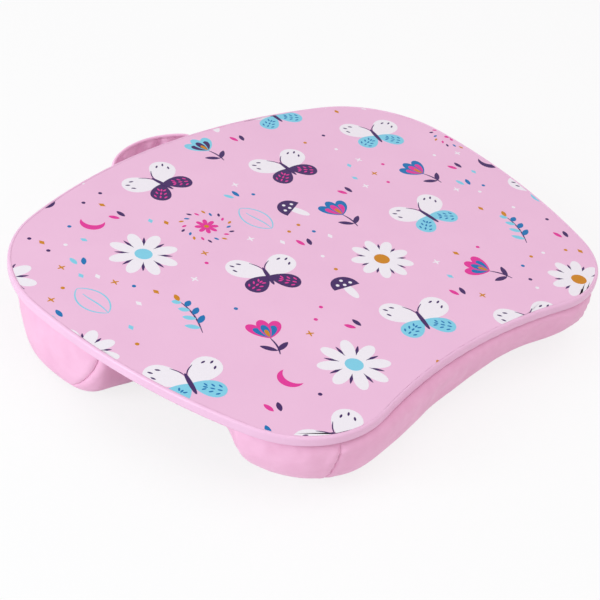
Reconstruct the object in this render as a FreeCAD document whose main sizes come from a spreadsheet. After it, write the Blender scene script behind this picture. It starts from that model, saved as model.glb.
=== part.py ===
import FreeCAD, Part
import math
import os
import Sketcher
from FreeCAD import Placement, Rotation, Vector

# Lap tray: a thin printed board with a rounded edging, carried on a cushion of two
# sewn bolsters, with a cloth handle behind the back edge.
# X runs to the user's right, Y to the back, Z up. The tray stands on Z = 0.

doc = FreeCAD.newDocument("LapTray")

# Driving sizes, in millimetres; a share is a fraction of the size that it follows
SIZES = (
    ("back_corner_radius", 96.0, "round of the two back corners"),
    ("back_corner_spread", 258.8, "between the centres of the back corners"),
    ("back_corner_setback", 53.7, "back corner centres behind the middle line"),
    ("back_crown_radius", 490.0, "gentle crown of the back edge"),
    ("end_crown_radius", 456.0, "gentle crown of the two end edges"),
    ("front_corner_radius", 74.1, "round of the two front lobes"),
    ("front_corner_spread", 245.4, "between the centres of the front lobes"),
    ("front_corner_setback", 97.4, "front lobe centres before the middle line"),
    ("front_hollow_radius", 447.0, "hollow of the front edge, where the user sits"),
    ("core_thickness", 6.0, "fibreboard"),
    ("top_sheet_thickness", 0.6, "printed laminate"),
    ("backing_thickness", 0.4, "balancing laminate"),
    ("trim_head", 2.5, "edging seen from above"),
    ("trim_lip", 0.2, "edging proud of the laminates, above and below"),
    ("trim_bevel", 1.5, "outer corners of the edging, first cut"),
    ("trim_soften", 0.5, "same corners, eased above and below that cut"),
    ("tongue_depth", 7.0, "barbed tongue of the edging, into the core"),
    ("tongue_thickness", 1.6, "same tongue, across"),
    ("trim_joint_gap", 0.3, "where the edging's two ends meet at the back"),
    ("fit_gap", 0.1, "clearance round the edging's seats"),
    ("tape_length", 260.0, "strip of double-sided tape"),
    ("tape_width", 25.0, "same strip, across"),
    ("tape_thickness", 0.3, "same strip"),
    ("cloth_thickness", 1.2, "sewn polyester cloth with its seam allowance"),
    ("filling_gap", 0.6, "between the cloth and the filling"),
    ("cushion_height", 52.8, "from the floor to the base cloth"),
    ("sole_press", 0.4, "flattened off the cushion where it stands"),
    ("cushion_inset", 3.0, "foot of the cushion walls inside the board's edge"),
    ("rear_wall_inset", 6.0, "foot of the rear wall inside the board's edge"),
    ("front_inner_line", 108.0, "inner foot of the front bolster before the middle line"),
    ("front_tip_inset", 8.8, "tips of the front bolster inside the board's lobes"),
    ("front_cap_length", 48.0, "end cap of the front bolster, from its seam to its tip"),
    ("front_middle_swell", 7.0, "front wall's swell at the middle of the hollow"),
    ("front_seam_swell", -1.0, "front wall's swell at the end seams"),
    ("inner_swell", 2.0, "swell of the two walls that face the channel"),
    ("rear_inner_line", 17.0, "inner foot of the rear bolster before the middle line"),
    ("rear_tip_inset", 0.4, "tips of the rear bolster inside the board's ends"),
    ("rear_cap_length", 22.6, "end cap of the rear bolster, from its seam to its tip"),
    ("rear_corner_radius", 120.0, "round of the rear bolster's back corners"),
    ("rear_inner_corner_radius", 26.0, "round of the rear bolster's inner corners"),
    ("rear_swell", 2.5, "swell of the rear wall"),
    ("strap_halfspan", 52.0, "handle, from the middle to the fold of an end"),
    ("strap_reach", 22.0, "handle, from the folds out to its bow"),
    ("strap_thickness", 3.0, "folded cloth"),
    ("strap_width", 30.0, "folded cloth, across"),
    ("strap_drop", 29.0, "middle of the handle below the top of the board"),
    ("neck_width", 12.0, "handle gathered at its folds"),
    ("strap_end_width", 16.0, "sewn end of the handle, along the wall"),
    ("strap_end_height", 24.0, "same end, up the wall"),
    ("strap_end_thickness", 1.8, "same end, flat"),
    ("strap_end_corner", 3.0, "same end, corners cut off"),
    ("seat_gap", 0.3, "between soft pieces that lie on each other"),
    ("overrun", 5.0, "of every cutting shape past what it cuts"),
)
TAPE_STRIP_COUNT = 5
STRAP_FLARE_DEGREES = 38.0

# Bolster sections: where a wall's two arcs meet, their chords, and how far each wall runs in
SHOULDER_DROP_SHARE = 0.64
WALL_CHORD_COUNT = 6
FRONT_RUN_SHARES = (0.46, 0.44)
REAR_RUN_SHARES = (0.24, 0.24)
# Towards its seams a bolster is shallower, and its wall to the channel runs in further
SEAM_LOSS_SHARE = 0.07
SEAM_RUN_SHARE = 0.35
# Stations of a bolster's cover, as shares of half its seam spread
FRONT_STATION_SHARES = (-1.0, -0.87, -0.75, -0.5, -0.25, 0.0, 0.25, 0.5, 0.75, 0.87, 1.0)
REAR_STATION_SHARES = (-1.0, -0.93, -0.84, -0.7, -0.35, 0.0, 0.35, 0.7, 0.84, 0.93, 1.0)
# Stations of an end cap: share of its length, and share of the full height there
FRONT_CAP_SHARES = (
    (0.0, 1.0), (0.22, 0.96), (0.42, 0.89), (0.6, 0.79), (0.77, 0.66), (0.9, 0.52), (1.0, 0.36))
REAR_CAP_SHARES = (
    (0.0, 1.0), (0.25, 0.985), (0.47, 0.95), (0.66, 0.89), (0.81, 0.8), (0.92, 0.68), (0.98, 0.52))

sizes = doc.addObject("Spreadsheet::Sheet", "Sizes")
for row, (alias, value, meaning) in enumerate(SIZES, start=1):
    sizes.set(f"A{row}", alias)
    sizes.set(f"B{row}", str(value))
    sizes.setAlias(f"B{row}", alias)
    sizes.set(f"C{row}", meaning)
doc.recompute()


def size(alias):
    """A driving size, read from the sheet."""
    return float(getattr(sizes, alias))


def worth(expression):
    """What an expression of driving sizes comes to."""
    return float(sizes.evalExpression(expression))


# Levels of the stack, from the floor up
CLOTH_BOTTOM = "Sizes.cushion_height"
CLOTH_TOP = f"({CLOTH_BOTTOM} + Sizes.cloth_thickness)"
BACKING_BOTTOM = f"({CLOTH_TOP} + Sizes.tape_thickness)"
CORE_BOTTOM = f"({BACKING_BOTTOM} + Sizes.backing_thickness)"
CORE_TOP = f"({CORE_BOTTOM} + Sizes.core_thickness)"
CORE_MIDDLE = f"({CORE_BOTTOM} + Sizes.core_thickness / 2)"
BOARD_TOP = f"({CORE_TOP} + Sizes.top_sheet_thickness)"
TRIM_BOTTOM = f"({BACKING_BOTTOM} - Sizes.trim_lip)"
TRIM_HEIGHT = f"({BOARD_TOP} - {BACKING_BOTTOM} + 2 * Sizes.trim_lip)"
CORE_INSET = "(Sizes.trim_head + Sizes.fit_gap)"
TONGUE_INSET = "(Sizes.trim_head + Sizes.tongue_depth)"
CROWN_REACH = "(Sizes.back_crown_radius - Sizes.back_corner_radius)"
CROWN_DROP = f"sqrt({CROWN_REACH} ^ 2 - (Sizes.back_corner_spread / 2) ^ 2)"
CROWN_TOP = f"(Sizes.back_corner_setback - {CROWN_DROP} + Sizes.back_crown_radius)"


# Outline of the board: eight arcs, each tangent to the next


def mirrored(point):
    return Vector(-point.x, point.y, point.z)


def outline_centres():
    """Centres of the right-hand arcs; crowns and hollow follow from touching the corners."""
    back = Vector(size("back_corner_spread") / 2, size("back_corner_setback"), 0)
    front = Vector(size("front_corner_spread") / 2, -size("front_corner_setback"), 0)
    crown_reach = size("back_crown_radius") - size("back_corner_radius")
    crown = Vector(0, back.y - math.sqrt(crown_reach ** 2 - back.x ** 2), 0)
    hollow_reach = size("front_hollow_radius") + size("front_corner_radius")
    hollow = Vector(0, front.y - math.sqrt(hollow_reach ** 2 - front.x ** 2), 0)
    to_back = size("end_crown_radius") - size("back_corner_radius")
    to_front = size("end_crown_radius") - size("front_corner_radius")
    span = back - front
    along = (to_front ** 2 - to_back ** 2 + span.Length ** 2) / (2 * span.Length)
    aside = math.sqrt(to_front ** 2 - along ** 2)
    ahead = span / span.Length
    end = front + ahead * along + Vector(-ahead.y, ahead.x, 0) * aside
    return back, front, crown, hollow, end


def heading(start, finish):
    return math.atan2(finish.y - start.y, finish.x - start.x)


def outline_arcs(inset):
    """The outline drawn in by inset, anticlockwise: centre, radius, first and last angle.

    The hollow bends the other way, so its own angles run against the outline."""
    back, front, crown, hollow, end = outline_centres()
    end_low = heading(end, front)
    end_high = heading(end, back)
    back_high = heading(crown, back)
    lobe_low = heading(front, hollow)
    hollow_low = heading(hollow, front)
    half_turn = math.pi
    corner = size("back_corner_radius") - inset
    lobe = size("front_corner_radius") - inset
    crowned_end = size("end_crown_radius") - inset
    return (
        (end, crowned_end, end_low, end_high),
        (back, corner, end_high, back_high),
        (crown, size("back_crown_radius") - inset, back_high, half_turn - back_high),
        (mirrored(back), corner, half_turn - back_high, half_turn - end_high),
        (mirrored(end), crowned_end, half_turn - end_high, half_turn - end_low),
        (mirrored(front), lobe, half_turn - end_low, half_turn - lobe_low + 2 * math.pi),
        (hollow, size("front_hollow_radius") + inset, hollow_low, half_turn - hollow_low),
        (front, lobe, lobe_low, end_low),
    )


END_RIGHT, BACK_RIGHT, CROWN, BACK_LEFT, END_LEFT, LOBE_LEFT, HOLLOW, LOBE_RIGHT = range(8)
START, END, CENTRE = range(1, 4)
LEVEL_AXIS, UPRIGHT_AXIS = range(-1, -3, -1)
ORIGIN = (LEVEL_AXIS, START)


def bind(sketch, constraint, expression):
    """Add a measured constraint and tie it to the sheet."""
    index = sketch.addConstraint(constraint)
    sketch.setExpression(f"Constraints[{index}]", expression)


def draw_outline(sketch, inset):
    """Draw the board's outline, drawn in by the expression inset, fully constrained."""
    arcs = outline_arcs(worth(inset))
    first = sketch.GeometryCount
    for centre, radius, low, high in arcs:
        circle = Part.Circle(centre, Vector(0, 0, 1), radius)
        sketch.addGeometry(Part.ArcOfCircle(circle, low, high), False)
    for place in range(len(arcs)):
        follower = (place + 1) % len(arcs)
        leave = START if place == HOLLOW else END
        enter = END if follower == HOLLOW else START
        sketch.addConstraint(Sketcher.Constraint(
            "Tangent", first + place, leave, first + follower, enter))
    radii = (
        (END_RIGHT, f"Sizes.end_crown_radius - {inset}"),
        (BACK_RIGHT, f"Sizes.back_corner_radius - {inset}"),
        (CROWN, f"Sizes.back_crown_radius - {inset}"),
        (HOLLOW, f"Sizes.front_hollow_radius + {inset}"),
        (LOBE_RIGHT, f"Sizes.front_corner_radius - {inset}"),
    )
    for place, expression in radii:
        bind(sketch, Sketcher.Constraint("Radius", first + place, arcs[place][1]), expression)
    for right, left in ((END_RIGHT, END_LEFT), (BACK_RIGHT, BACK_LEFT), (LOBE_RIGHT, LOBE_LEFT)):
        sketch.addConstraint(Sketcher.Constraint("Equal", first + right, first + left))
    for right, left in ((BACK_RIGHT, BACK_LEFT), (LOBE_RIGHT, LOBE_LEFT)):
        sketch.addConstraint(Sketcher.Constraint(
            "Symmetric", first + right, CENTRE, first + left, CENTRE, UPRIGHT_AXIS))
    places = (
        ("DistanceX", BACK_RIGHT, arcs[BACK_RIGHT][0].x, "Sizes.back_corner_spread / 2"),
        ("DistanceY", BACK_RIGHT, arcs[BACK_RIGHT][0].y, "Sizes.back_corner_setback"),
        ("DistanceX", LOBE_RIGHT, arcs[LOBE_RIGHT][0].x, "Sizes.front_corner_spread / 2"),
        ("DistanceY", LOBE_RIGHT, arcs[LOBE_RIGHT][0].y, "-Sizes.front_corner_setback"),
    )
    for kind, place, value, expression in places:
        bind(sketch, Sketcher.Constraint(kind, *ORIGIN, first + place, CENTRE, value), expression)


# Bodies, sketches and features


def new_body(label, place):
    body = doc.addObject("PartDesign::Body", label)
    body.Label = label
    body.Placement = Placement(place, Rotation())
    return body


def new_sketch(body, name, plane, level):
    """A sketch on one of the body's own planes, raised by an expression."""
    sketch = body.newObject("Sketcher::SketchObject", name)
    support = [part for part in body.Origin.OriginFeatures if part.Role == plane]
    sketch.AttachmentSupport = [(support[0], "")]
    sketch.MapMode = "FlatFace"
    sketch.setExpression("AttachmentOffset.Base.z", level)
    return sketch


def new_pad(body, sketch, name, length):
    feature = body.newObject("PartDesign::Pad", name)
    feature.Profile = sketch
    feature.setExpression("Length", length)
    return feature


def new_pocket(body, sketch, name, length):
    """Cut down from the sketch, and make sure that something came off."""
    doc.recompute()
    before = body.Shape.Volume
    feature = body.newObject("PartDesign::Pocket", name)
    feature.Profile = sketch
    feature.setExpression("Length", length)
    doc.recompute()
    if body.Shape.Volume >= before:
        raise RuntimeError(f"{name} cuts nothing")
    return feature


def outline_sheet(label, place, inset, level, thickness):
    """A flat sheet in the board's outline, such as a laminate or the base cloth."""
    body = new_body(label, place)
    sketch = new_sketch(body, f"{label}_outline", "XY_Plane", level)
    draw_outline(sketch, inset)
    new_pad(body, sketch, f"{label}_sheet", thickness)
    return body


def draw_rectangle(sketch, left, right, low, high):
    """A rectangle between four expressions, measured from the sketch's origin."""
    xs = (worth(left), worth(right))
    ys = (worth(low), worth(high))
    corners = [Vector(xs[0], ys[0], 0), Vector(xs[1], ys[0], 0),
               Vector(xs[1], ys[1], 0), Vector(xs[0], ys[1], 0)]
    first = sketch.GeometryCount
    for place in range(4):
        sketch.addGeometry(Part.LineSegment(corners[place], corners[(place + 1) % 4]), False)
    for place in range(4):
        sketch.addConstraint(Sketcher.Constraint(
            "Coincident", first + place, END, first + (place + 1) % 4, START))
        kind = "Horizontal" if place % 2 == 0 else "Vertical"
        sketch.addConstraint(Sketcher.Constraint(kind, first + place))
    measures = (("DistanceX", 0, xs[0], left), ("DistanceY", 0, ys[0], low),
                ("DistanceX", 2, xs[1], right), ("DistanceY", 2, ys[1], high))
    for kind, place, value, expression in measures:
        bind(sketch, Sketcher.Constraint(kind, *ORIGIN, first + place, START, value), expression)


# Plan lines that the bolsters follow


def front_tip():
    """How far the front bolster reaches to each side."""
    return outline_centres()[1].x + size("front_corner_radius") - size("front_tip_inset")


def front_seam():
    return front_tip() - size("front_cap_length")


def rear_tip():
    """How far the rear bolster reaches to each side."""
    return outline_centres()[4].x + size("end_crown_radius") - size("rear_tip_inset")


def rear_seam():
    return rear_tip() - size("rear_cap_length")


def front_line(across):
    """Foot of the front wall: the board's front edge, drawn in by the cushion's inset."""
    front, hollow = outline_centres()[1], outline_centres()[3]
    inset = size("cushion_inset")
    hollow_radius = size("front_hollow_radius") + inset
    join = front.x * hollow_radius / (size("front_hollow_radius") + size("front_corner_radius"))
    if abs(across) <= join:
        return hollow.y + math.sqrt(hollow_radius ** 2 - across ** 2)
    lobe_radius = size("front_corner_radius") - inset
    return front.y - math.sqrt(lobe_radius ** 2 - (abs(across) - front.x) ** 2)


def rear_line(across):
    """Foot of the rear wall: the back crown, drawn in, then the bolster's own round corner."""
    crown = outline_centres()[2]
    crown_radius = size("back_crown_radius") - size("rear_wall_inset")
    corner_radius = size("rear_corner_radius")
    corner_x = rear_tip() - corner_radius
    reach = crown_radius - corner_radius
    corner_y = crown.y + math.sqrt(reach ** 2 - corner_x ** 2)
    join = corner_x * crown_radius / reach
    if abs(across) <= join:
        return crown.y + math.sqrt(crown_radius ** 2 - across ** 2)
    return corner_y + math.sqrt(corner_radius ** 2 - (abs(across) - corner_x) ** 2)


def rear_inner_line(across):
    """Inner foot of the rear bolster: straight, then rounded towards the tips."""
    radius = size("rear_inner_corner_radius")
    turned = min(max((abs(across) - rear_seam()) / size("rear_cap_length"), 0), 1)
    return -size("rear_inner_line") + radius * (1 - math.sqrt(1 - turned ** 2))


# Cross-sections of the bolsters


def wall_points(across, foot, run, swell, top, height):
    """A cloth wall along two tangent arcs: out from its foot to the shoulder, then under.

    run is signed, from the foot towards the middle of the bolster; the lower arc ends level."""
    inward = math.copysign(1, run)
    start = Vector(across, foot, top)
    shoulder = Vector(across, foot - inward * swell, top - SHOULDER_DROP_SHARE * height)
    toe = Vector(across, foot + run, top - height)
    rise = shoulder.z - toe.z
    width = shoulder.y - toe.y
    radius = (width ** 2 + rise ** 2) / (2 * rise)
    centre = Vector(across, toe.y, toe.z + radius)
    spoke = shoulder - centre
    halfway = (spoke / spoke.Length + (toe - centre) / radius)
    lower_middle = centre + halfway / halfway.Length * radius
    leaving = Vector(0, -spoke.z * inward, spoke.y * inward) / spoke.Length
    chord = shoulder - start
    turn = chord.getAngle(leaving)
    outward = Vector(0, chord.z * inward, -chord.y * inward) / chord.Length
    upper_middle = (start + shoulder) / 2 + outward * (chord.Length / 2 * math.tan(turn / 2))
    upper = Part.Arc(start, upper_middle, shoulder).discretize(Number=WALL_CHORD_COUNT + 1)
    lower = Part.Arc(shoulder, lower_middle, toe).discretize(Number=WALL_CHORD_COUNT + 1)
    return upper + lower[1:]


def bolster_section(across, outer, inner, runs, swells, top, bottom, lift):
    """One closed section: flat top, outer wall, flat sole, inner wall.

    runs are shares of the width between the feet, and swells are in millimetres.
    A cavity has a lift: its top stands that much above the feet of its walls."""
    width = inner - outer
    height = top - bottom
    outer_wall = wall_points(across, outer, runs[0] * width, swells[0], top, height)
    inner_wall = wall_points(across, inner, -runs[1] * width, swells[1], top, height)
    points = outer_wall + inner_wall[::-1]
    if lift > 0:
        raised = Vector(0, 0, lift)
        points += [inner_wall[0] + raised, outer_wall[0] + raised]
    return Part.makePolygon(points + points[:1])


def front_section(across, height_share, skin, lift):
    """Section of the front bolster, drawn in by the thickness skin."""
    turned = min(abs(across) / front_seam(), 1) ** 2
    swell = size("front_middle_swell") * (1 - turned) + size("front_seam_swell") * turned
    depth_share = height_share * (1 - SEAM_LOSS_SHARE * turned)
    base = size("cushion_height")
    return bolster_section(
        across,
        front_line(across) + skin,
        -size("front_inner_line") - skin,
        FRONT_RUN_SHARES,
        (swell * depth_share, size("inner_swell") * depth_share),
        base,
        base * (1 - depth_share) + skin - size("sole_press"),
        lift,
    )


def rear_section(across, height_share, skin, lift):
    """Section of the rear bolster, drawn in by the thickness skin."""
    turned = min(abs(across) / rear_seam(), 1) ** 6
    depth_share = height_share * (1 - SEAM_LOSS_SHARE * turned)
    base = size("cushion_height")
    return bolster_section(
        across,
        rear_line(across) - skin,
        rear_inner_line(across) + skin,
        (REAR_RUN_SHARES[0], REAR_RUN_SHARES[1] * (1 + SEAM_RUN_SHARE * turned)),
        (size("rear_swell") * depth_share, size("inner_swell") * depth_share),
        base,
        base * (1 - depth_share) + skin - size("sole_press"),
        lift,
    )


def moved(wire, distance):
    """A copy of a section, moved along the bolster."""
    copy = wire.copy()
    copy.translate(Vector(distance, 0, 0))
    return copy


def cover_loft(section, seam, station_shares, skin, overrun):
    """The bolster between its two end seams; a cavity runs past them, and up, by overrun."""
    wires = [section(seam * share, 1, skin, overrun) for share in station_shares]
    if overrun > 0:
        wires = [moved(wires[0], -overrun)] + wires + [moved(wires[-1], overrun)]
    return Part.makeLoft(wires, True, True)


def faceted(wires):
    """A solid through sections of equal point counts, skinned in flat facets like a cut panel."""
    rows = [[vertex.Point for vertex in wire.OrderedVertexes] for wire in wires]
    faces = [Part.Face(wires[0]), Part.Face(wires[-1])]
    for near, far in zip(rows, rows[1:]):
        for place in range(len(near)):
            corner, beside = near[place - 1], near[place]
            facing, opposite = far[place - 1], far[place]
            faces.append(Part.Face(Part.makePolygon([corner, beside, opposite, corner])))
            faces.append(Part.Face(Part.makePolygon([corner, opposite, facing, corner])))
    skin = Part.Compound(faces)
    skin.sewShape()
    solid = Part.Solid(skin.Shells[0])
    if solid.Volume < 0:
        solid.reverse()
    return solid


def cap_loft(section, seam, tip, cap_shares, skin, overrun):
    """The right-hand end of a bolster; a cavity runs back past the seam, and up, by overrun."""
    wires = []
    for length_share, height_share in cap_shares:
        across = seam + (tip - seam) * length_share
        wire = section(across, height_share, skin, overrun)
        wires.append(moved(wire, -skin * length_share))
    if overrun > 0:
        wires.insert(0, moved(wires[0], -overrun))
    return faceted(wires)


def pressed(shape):
    """A cover with its underside flattened by what the cushion stands on."""
    box = shape.BoundBox
    depth = size("overrun")
    corner = Vector(box.XMin, box.YMin, -depth)
    return shape.cut(Part.makeBox(box.XLength, box.YLength, depth, corner))


def bolster_pieces(section, seam, tip, station_shares, cap_shares):
    """Cover, right-hand cap and filling of one bolster."""
    skin = size("cloth_thickness")
    overrun = size("overrun")
    inner = skin + size("filling_gap")
    cover = cover_loft(section, seam, station_shares, 0, 0).cut(
        cover_loft(section, seam, station_shares, skin, overrun))
    cap = cap_loft(section, seam, tip, cap_shares, 0, 0).cut(
        cap_loft(section, seam, tip, cap_shares, skin, overrun))
    end = cap_loft(section, seam, tip, cap_shares, inner, 0)
    body = cover_loft(section, seam, station_shares, inner, 0)
    filling = body.fuse([end, end.mirror(Vector(), Vector(1, 0, 0))])
    return pressed(cover), cap, filling


def soft_piece(label, shape, place):
    """A sewn piece, made in the tray's own place and then moved to the part's origin."""
    solids = shape.Solids
    if len(solids) != 1:
        raise RuntimeError(f"{label} is {len(solids)} solids")
    feature = doc.addObject("Part::Feature", label)
    feature.Label = label
    feature.Shape = solids[0]
    feature.Placement = Placement(place, Rotation())
    return feature


# Where the handle folds, and so where the middle of the whole part lies

wall_section = rear_section(size("strap_halfspan"), 1, 0, 0)
wall_face = wall_section.BoundBox.YMax
end_face = wall_face + size("seat_gap") + size("strap_end_thickness")
fold_setback = end_face + size("seat_gap") + size("neck_width") / 2
back_reach = fold_setback + size("strap_reach") + size("strap_thickness") / 2
belly_reach = max(-front_section(front_seam() * share, 1, 0, 0).BoundBox.YMin
                  for share in FRONT_STATION_SHARES)
front_reach = max(belly_reach, size("front_corner_setback") + size("front_corner_radius"))
origin_shift = Vector(0, (front_reach - back_reach) / 2, 0)
fold_place = origin_shift + Vector(0, fold_setback, worth(BOARD_TOP) - size("strap_drop"))

# Board: core with a groove round its edge, laminated above and below

board_core = outline_sheet(
    "board_core", origin_shift, CORE_INSET, CORE_BOTTOM, "Sizes.core_thickness")
groove_top = f"{CORE_MIDDLE} + Sizes.tongue_thickness / 2 + Sizes.fit_gap"
groove = new_sketch(board_core, "edging_groove", "XY_Plane", groove_top)
draw_outline(groove, "Sizes.trim_head")
draw_outline(groove, f"({TONGUE_INSET} + Sizes.fit_gap)")
new_pocket(board_core, groove, "groove_cut", "Sizes.tongue_thickness + 2 * Sizes.fit_gap")

printed_top_sheet = outline_sheet(
    "printed_top_sheet", origin_shift, CORE_INSET, CORE_TOP, "Sizes.top_sheet_thickness")
backing_sheet = outline_sheet(
    "backing_sheet", origin_shift, CORE_INSET, BACKING_BOTTOM, "Sizes.backing_thickness")

# Edging: a T section round the board, its tongue in the groove, its ends meeting at the back

edge_trim = new_body("edge_trim", origin_shift)
rim = new_sketch(edge_trim, "rim_outline", "XY_Plane", TRIM_BOTTOM)
draw_outline(rim, "0 * Sizes.trim_head")
new_pad(edge_trim, rim, "rim", TRIM_HEIGHT)
doc.recompute()
for name, bevel in (("rim_bevel", "Sizes.trim_bevel"), ("rim_softening", "Sizes.trim_soften")):
    rounded = edge_trim.Tip
    box = rounded.Shape.BoundBox
    rim_edges = [
        f"Edge{number}" for number, edge in enumerate(rounded.Shape.Edges, start=1)
        if edge.BoundBox.ZMin > box.ZMax - size("fit_gap")
        or edge.BoundBox.ZMax < box.ZMin + size("fit_gap")
    ]
    cut = edge_trim.newObject("PartDesign::Chamfer", name)
    cut.Base = (rounded, rim_edges)
    cut.setExpression("Size", bevel)
    doc.recompute()
well = new_sketch(edge_trim, "rim_well", "XY_Plane", f"{TRIM_BOTTOM} + {TRIM_HEIGHT}")
draw_outline(well, "Sizes.trim_head")
new_pocket(edge_trim, well, "well_cut", TRIM_HEIGHT)
tongue = new_sketch(
    edge_trim, "tongue_outline", "XY_Plane", f"{CORE_MIDDLE} - Sizes.tongue_thickness / 2")
draw_outline(tongue, "Sizes.trim_head")
draw_outline(tongue, TONGUE_INSET)
new_pad(edge_trim, tongue, "tongue", "Sizes.tongue_thickness")
joint = new_sketch(edge_trim, "joint_outline", "XY_Plane", f"{TRIM_BOTTOM} + {TRIM_HEIGHT}")
joint_near = f"{CROWN_TOP} - {TONGUE_INSET} - Sizes.overrun"
joint_far = f"{CROWN_TOP} + Sizes.overrun"
draw_rectangle(
    joint, "-Sizes.trim_joint_gap / 2", "Sizes.trim_joint_gap / 2", joint_near, joint_far)
new_pocket(edge_trim, joint, "joint_cut", TRIM_HEIGHT)

# Strips of tape between the board and the cushion, all alike and evenly spread

hollow_top = outline_centres()[3].y + size("front_hollow_radius")
strip_pitch = (worth(CROWN_TOP) - hollow_top) / (TAPE_STRIP_COUNT + 1)
strips = []
for number in range(TAPE_STRIP_COUNT):
    strip = doc.addObject("Part::Box", f"tape_strip_{number + 1}")
    strip.setExpression("Length", "Sizes.tape_length")
    strip.setExpression("Width", "Sizes.tape_width")
    strip.setExpression("Height", "Sizes.tape_thickness")
    setback = hollow_top + strip_pitch * (number + 1)
    corner = Vector(-size("tape_length") / 2, setback - size("tape_width") / 2, worth(CLOTH_TOP))
    strip.Placement = Placement(origin_shift + corner, Rotation())
    strips.append(strip)
bond_strips = doc.addObject("Part::Compound", "bond_strips")
bond_strips.Label = "bond_strips"
bond_strips.Links = strips

# Cushion: a base cloth that closes both bolsters and spans the channel between them

base_cloth = outline_sheet(
    "base_cloth", origin_shift, "Sizes.cushion_inset", CLOTH_BOTTOM, "Sizes.cloth_thickness")

front_cover, front_cap, front_filling = bolster_pieces(
    front_section, front_seam(), front_tip(), FRONT_STATION_SHARES, FRONT_CAP_SHARES)
rear_cover, rear_cap, rear_filling = bolster_pieces(
    rear_section, rear_seam(), rear_tip(), REAR_STATION_SHARES, REAR_CAP_SHARES)
side_to_side = (Vector(), Vector(1, 0, 0))
soft_pieces = [
    soft_piece("front_bolster_cover", front_cover, origin_shift),
    soft_piece("front_right_end_cap", front_cap, origin_shift),
    soft_piece("front_left_end_cap", front_cap.mirror(*side_to_side), origin_shift),
    soft_piece("front_bolster_filling", front_filling, origin_shift),
    soft_piece("rear_bolster_cover", rear_cover, origin_shift),
    soft_piece("rear_right_end_cap", rear_cap, origin_shift),
    soft_piece("rear_left_end_cap", rear_cap.mirror(*side_to_side), origin_shift),
    soft_piece("rear_bolster_filling", rear_filling, origin_shift),
]

# Handle: a bowed band, gathered to a rounded neck at the two folds that it swings on

BOW_RADIUS = "((Sizes.strap_halfspan ^ 2 + Sizes.strap_reach ^ 2) / (2 * Sizes.strap_reach))"
NECK = "Sizes.neck_width / 2"
band = new_body("handle_band", fold_place)
bow = new_sketch(band, "band_bow", "XY_Plane", "-Sizes.strap_width / 2")
bow_centre = Vector(0, size("strap_reach") - worth(BOW_RADIUS), 0)
end_drop = worth(NECK) + bow_centre.y
ends = []
for side, expression in ((1, f"{BOW_RADIUS} + Sizes.strap_thickness / 2"),
                         (-1, f"{BOW_RADIUS} - Sizes.strap_thickness / 2")):
    radius = worth(expression)
    low = math.asin(-end_drop / radius)
    circle = Part.Circle(bow_centre, Vector(0, 0, 1), radius)
    place = bow.addGeometry(Part.ArcOfCircle(circle, low, math.pi - low), False)
    bind(bow, Sketcher.Constraint("Radius", place, radius), expression)
    bind(bow, Sketcher.Constraint("DistanceY", *ORIGIN, place, CENTRE, bow_centre.y),
         f"Sizes.strap_reach - {BOW_RADIUS}")
    bow.addConstraint(Sketcher.Constraint("PointOnObject", place, CENTRE, UPRIGHT_AXIS))
    ends.append([Vector(bow_centre.x + direction * radius * math.cos(low), -worth(NECK), 0)
                 for direction in (1, -1)])
for corner, vertex in ((0, START), (1, END)):
    line = bow.addGeometry(Part.LineSegment(ends[0][corner], ends[1][corner]), False)
    bow.addConstraint(Sketcher.Constraint("Coincident", line, START, 0, vertex))
    bow.addConstraint(Sketcher.Constraint("Coincident", line, END, 1, vertex))
    bow.addConstraint(Sketcher.Constraint("Horizontal", line))
    bind(bow, Sketcher.Constraint("DistanceY", *ORIGIN, line, START, -worth(NECK)), f"-{NECK}")
new_pad(band, bow, "band_height", "Sizes.strap_width")

fan = new_body("handle_fan", fold_place)
fan_side = new_sketch(fan, "fan_side", "YZ_Plane", "-2 * Sizes.strap_halfspan")
flare = math.radians(STRAP_FLARE_DEGREES)
fan_end = "Sizes.strap_reach + Sizes.strap_thickness + Sizes.overrun"
neck = worth(NECK)
touch = Vector(-neck * math.sin(flare), neck * math.cos(flare), 0)
far = worth(fan_end)
far_height = touch.y + (far - touch.x) * math.tan(flare)
circle = Part.Circle(Vector(), Vector(0, 0, 1), neck)
fan_side.addGeometry(Part.ArcOfCircle(
    circle, math.pi / 2 + flare, 3 * math.pi / 2 - flare), False)
fan_side.addGeometry(Part.LineSegment(
    Vector(touch.x, -touch.y, 0), Vector(far, -far_height, 0)), False)
fan_side.addGeometry(Part.LineSegment(
    Vector(far, -far_height, 0), Vector(far, far_height, 0)), False)
fan_side.addGeometry(Part.LineSegment(Vector(far, far_height, 0), touch), False)
fan_side.addConstraint(Sketcher.Constraint("Coincident", 0, CENTRE, *ORIGIN))
fan_side.addConstraint(Sketcher.Constraint("Tangent", 0, END, 1, START))
fan_side.addConstraint(Sketcher.Constraint("Coincident", 1, END, 2, START))
fan_side.addConstraint(Sketcher.Constraint("Coincident", 2, END, 3, START))
fan_side.addConstraint(Sketcher.Constraint("Tangent", 3, END, 0, START))
fan_side.addConstraint(Sketcher.Constraint("Symmetric", 2, START, 2, END, LEVEL_AXIS))
fan_side.addConstraint(Sketcher.Constraint("Angle", 3, flare - math.pi))
bind(fan_side, Sketcher.Constraint("Radius", 0, neck), NECK)
bind(fan_side, Sketcher.Constraint("DistanceX", *ORIGIN, 2, START, far), fan_end)
new_pad(fan, fan_side, "fan_width", "4 * Sizes.strap_halfspan")
handle_strap = doc.addObject("Part::Common", "handle_strap")
handle_strap.Label = "handle_strap"
handle_strap.Base = band
handle_strap.Tool = fan

# Sewn ends of the handle: flat patches on the rear wall, one behind each fold

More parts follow.
